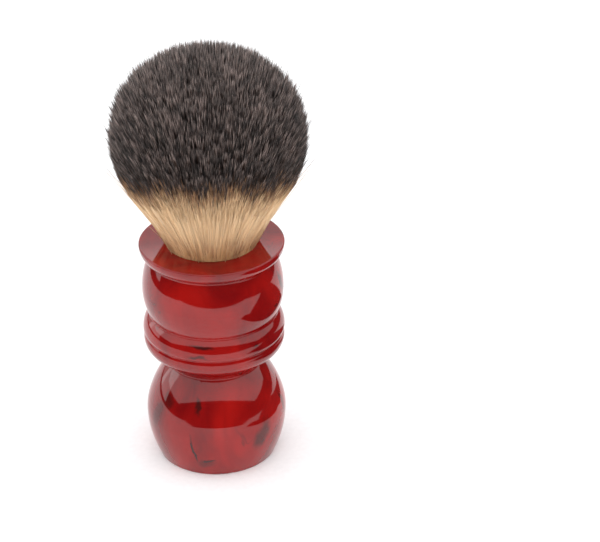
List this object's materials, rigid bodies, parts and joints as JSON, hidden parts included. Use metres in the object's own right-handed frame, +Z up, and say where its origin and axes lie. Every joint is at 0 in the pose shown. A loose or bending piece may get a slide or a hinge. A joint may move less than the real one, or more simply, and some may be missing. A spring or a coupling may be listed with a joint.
{
  "type": "shaving brush",
  "caption": "Upright shaving brush: turned glossy red resin handle with lip, barrel, beads and ball, and a bulb-shaped soft fibre knot, cream with dark tips.",
  "frame": {"origin": "centre of the flat base on which the brush stands", "axes": "+Z up along the brush's axis, from the base to the tips of the fibres; the shape is round, so X and Y are any two directions across it"},
  "size_m": [0.0516, 0.0516, 0.1191],
  "materials": {
    "cast_resin": "polished cast resin, deep red with black wisps, sanded matte on the base",
    "knot_fibre": "soft synthetic filament, cream at the root, dark brown band, grey at the tip",
    "potting_epoxy": "cured epoxy full of fibre roots",
    "whipping_thread": "waxed polyester thread",
    "socket_adhesive": "cured adhesive"
  },
  "bodies": {
    "root": {"handle": "cast_resin", "knot_fibres": "knot_fibre", "knot_plug": "potting_epoxy", "binding_thread": "whipping_thread", "adhesive_bed": "socket_adhesive"}
  },
  "joints": []
}
